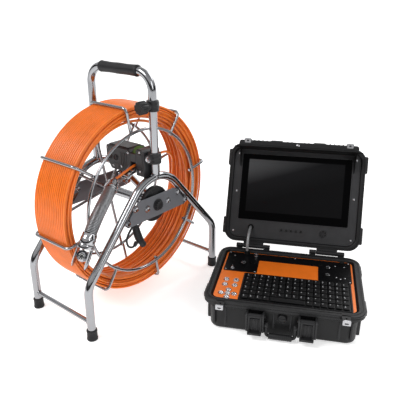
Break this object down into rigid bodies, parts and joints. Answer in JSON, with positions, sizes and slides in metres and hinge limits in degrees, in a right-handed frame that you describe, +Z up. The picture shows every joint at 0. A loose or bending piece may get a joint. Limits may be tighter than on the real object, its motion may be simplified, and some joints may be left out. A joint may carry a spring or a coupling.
{
  "type": "inspection camera",
  "caption": "Pipe inspection camera kit: a push-rod reel on a tubular stand with a pan-and-tilt camera head, and a hinged control case with keyboard and monitor.",
  "frame": {"origin": "on the floor, under the middle of the kit's bounding box", "axes": "+X along the drum's axle from the reel towards the side with the camera head and the case, +Z up, +Y towards the back of the kit"},
  "size_m": [0.8028, 0.8673, 0.6655],
  "materials": {
    "stainless": "satin",
    "polished_steel": "polished",
    "steel_mesh": "satin",
    "plate_grey": "satin",
    "black_rubber": "matte",
    "black_moulding": "matte",
    "wheel_green": "satin",
    "rod_orange": "satin",
    "case_black": "matte",
    "panel_orange": "satin",
    "inlay_black": "satin",
    "key_black": "matte",
    "socket_metal": "polished",
    "battery_grey": "matte",
    "button_metal": "polished",
    "bezel_grey": "matte",
    "screen_glass": "gloss",
    "button_black": "matte",
    "hood_fabric": "matte",
    "cable_sleeve": "satin"
  },
  "bodies": {
    "reel_frame": {"arch_near": "stainless", "arch_far": "stainless", "crossbars": "stainless", "carry_handle": "stainless", "handle_grip": "black_rubber", "rubber_feet": "black_rubber", "side_plates": "plate_grey", "plate_bolts": "polished_steel", "axle_shaft": "polished_steel", "axle_nuts": "black_moulding", "slip_ring_cover": "black_moulding", "clamp_collar": "black_moulding", "counter_bracket": "plate_grey", "counter_housing": "black_moulding", "push_rod_lead": "rod_orange", "spring_couplings": "polished_steel", "camera_spring": "steel_mesh", "output_lead": "black_rubber", "output_plug": "black_moulding"},
    "drum": {"hub_tube": "stainless", "hub_bearings": "polished_steel", "hoop_near": "stainless", "hoop_far": "stainless", "cage_brackets": "stainless", "spokes": "stainless", "push_rod_coil": "rod_orange"},
    "measuring_wheel": {"measuring_wheel": "wheel_green"},
    "pressure_roller": {"pressure_roller": "polished_steel"},
    "tension_knob": {"tension_knob": "black_moulding"},
    "clamp_knob": {"clamp_knob": "black_moulding"},
    "camera_fork": {"camera_fork": "polished_steel"},
    "camera_ball": {"camera_ball": "polished_steel"},
    "case_base": {"base_shell": "case_black", "case_feet": "black_rubber", "control_panel": "panel_orange", "black_inlays": "inlay_black", "panel_sockets": "socket_metal", "hinge_pins": "polished_steel", "battery_pack": "battery_grey", "purge_valve": "case_black", "lid_cable": "cable_sleeve"},
    "keyboard": {"keyboard_keys": "key_black"},
    "case_lid": {"lid_shell": "case_black", "monitor_bezel": "bezel_grey", "display_glass": "screen_glass", "sunshade_gussets": "hood_fabric"},
    "monitor_buttons": {"monitor_buttons": "button_black"},
    "sunshade": {"sunshade_flap": "hood_fabric"},
    "latch_left": {"latch_left": "case_black"},
    "latch_right": {"latch_right": "case_black"},
    "case_handle": {"case_handle": "case_black"},
    "function_button_1": {"function_button_1": "button_metal"},
    "function_button_2": {"function_button_2": "button_metal"},
    "function_button_3": {"function_button_3": "button_metal"},
    "function_button_4": {"function_button_4": "button_metal"},
    "arrow_up": {"arrow_up": "button_metal"},
    "arrow_left": {"arrow_left": "button_metal"},
    "select_button": {"select_button": "button_metal"},
    "arrow_right": {"arrow_right": "button_metal"},
    "arrow_down": {"arrow_down": "button_metal"}
  },
  "joints": [
    {"name": "drum_spin", "type": "hinge", "parent": "reel_frame", "child": "drum", "pos_m": [-0.266, -0.149, 0.298], "axis": [1, 0, 0], "continuous": true},
    {"name": "measuring_wheel_spin", "type": "hinge", "parent": "reel_frame", "child": "measuring_wheel", "pos_m": [-0.204, -0.149, 0.4298], "axis": [1, 0, 0], "continuous": true},
    {"name": "pressure_roller_spin", "type": "hinge", "parent": "reel_frame", "child": "pressure_roller", "pos_m": [-0.204, -0.149, 0.3882], "axis": [1, 0, 0], "continuous": true},
    {"name": "tension_knob_turn", "type": "hinge", "parent": "reel_frame", "child": "tension_knob", "pos_m": [-0.177, -0.149, 0.37], "axis": [0, 0, 1], "range_deg": [-180, 720]},
    {"name": "clamp_knob_turn", "type": "hinge", "parent": "reel_frame", "child": "clamp_knob", "pos_m": [-0.149, -0.179, 0.568], "axis": [0, 1, 0], "range_deg": [0, 720]},
    {"name": "camera_pan", "type": "hinge", "parent": "reel_frame", "child": "camera_fork", "pos_m": [-0.15844, -0.39055, 0.25534], "axis": [0.039, -0.5387, -0.8416], "continuous": true},
    {"name": "camera_tilt", "type": "hinge", "parent": "camera_fork", "child": "camera_ball", "pos_m": [-0.15774, -0.40025, 0.24019], "axis": [0.8334, 0.4822, -0.2701], "range_deg": [-5, 175]},
    {"name": "case_lift", "type": "slide", "parent": "reel_frame", "child": "case_base", "axis": [0, 0, 1], "range_m": [0, 0.3]},
    {"name": "keyboard_press", "type": "slide", "parent": "case_base", "child": "keyboard", "axis": [0, 0, -1], "range_m": [0, 0.0014], "stiffness_N_per_m": 8000, "springref_m": -0.001},
    {"name": "lid_hinge", "type": "hinge", "parent": "case_base", "child": "case_lid", "pos_m": [0.08363, 0.19111, 0.097], "axis": [0.891, 0.454, 0], "range_deg": [0, 115], "deforming": ["lid_cable"]},
    {"name": "sunshade_fold", "type": "hinge", "parent": "case_lid", "child": "sunshade", "pos_m": [0.02411, 0.30792, 0.37129], "axis": [0.891, 0.454, 0], "range_deg": [0, 90], "deforming": ["sunshade_gussets"]},
    {"name": "monitor_buttons_press", "type": "slide", "parent": "case_lid", "child": "monitor_buttons", "axis": [-0.4115, 0.8075, -0.4226], "range_m": [0, 0.0012], "stiffness_N_per_m": 800, "springref_m": -0.001},
    {"name": "latch_left_swing", "type": "hinge", "parent": "case_base", "child": "latch_left", "pos_m": [0.17646, -0.13645, 0.072], "axis": [0.891, 0.454, 0], "range_deg": [-180, 0]},
    {"name": "latch_right_swing", "type": "hinge", "parent": "case_base", "child": "latch_right", "pos_m": [0.29407, -0.07653, 0.072], "axis": [0.891, 0.454, 0], "range_deg": [-180, 0]},
    {"name": "case_handle_swing", "type": "hinge", "parent": "case_base", "child": "case_handle", "pos_m": [0.23209, -0.10025, 0.046], "axis": [0.891, 0.454, 0], "range_deg": [-110, 0]},
    {"name": "function_button_1_press", "type": "slide", "parent": "case_base", "child": "function_button_1", "axis": [0, 0, -1], "range_m": [0, 0.0015], "stiffness_N_per_m": 800, "springref_m": -0.001},
    {"name": "function_button_2_press", "type": "slide", "parent": "case_base", "child": "function_button_2", "axis": [0, 0, -1], "range_m": [0, 0.0015], "stiffness_N_per_m": 800, "springref_m": -0.001},
    {"name": "function_button_3_press", "type": "slide", "parent": "case_base", "child": "function_button_3", "axis": [0, 0, -1], "range_m": [0, 0.0015], "stiffness_N_per_m": 800, "springref_m": -0.001},
    {"name": "function_button_4_press", "type": "slide", "parent": "case_base", "child": "function_button_4", "axis": [0, 0, -1], "range_m": [0, 0.0015], "stiffness_N_per_m": 800, "springref_m": -0.001},
    {"name": "arrow_up_press", "type": "slide", "parent": "case_base", "child": "arrow_up", "axis": [0, 0, -1], "range_m": [0, 0.0015], "stiffness_N_per_m": 800, "springref_m": -0.001},
    {"name": "arrow_left_press", "type": "slide", "parent": "case_base", "child": "arrow_left", "axis": [0, 0, -1], "range_m": [0, 0.0015], "stiffness_N_per_m": 800, "springref_m": -0.001},
    {"name": "select_button_press", "type": "slide", "parent": "case_base", "child": "select_button", "axis": [0, 0, -1], "range_m": [0, 0.0015], "stiffness_N_per_m": 800, "springref_m": -0.001},
    {"name": "arrow_right_press", "type": "slide", "parent": "case_base", "child": "arrow_right", "axis": [0, 0, -1], "range_m": [0, 0.0015], "stiffness_N_per_m": 800, "springref_m": -0.001},
    {"name": "arrow_down_press", "type": "slide", "parent": "case_base", "child": "arrow_down", "axis": [0, 0, -1], "range_m": [0, 0.0015], "stiffness_N_per_m": 800, "springref_m": -0.001}
  ],
  "couplings": [
    {"joint": "measuring_wheel_spin", "follows": "drum_spin", "ratio": -11.068},
    {"joint": "pressure_roller_spin", "follows": "drum_spin", "ratio": 20.292},
    {"joint": "sunshade_fold", "follows": "lid_hinge", "ratio": 0.78}
  ]
}
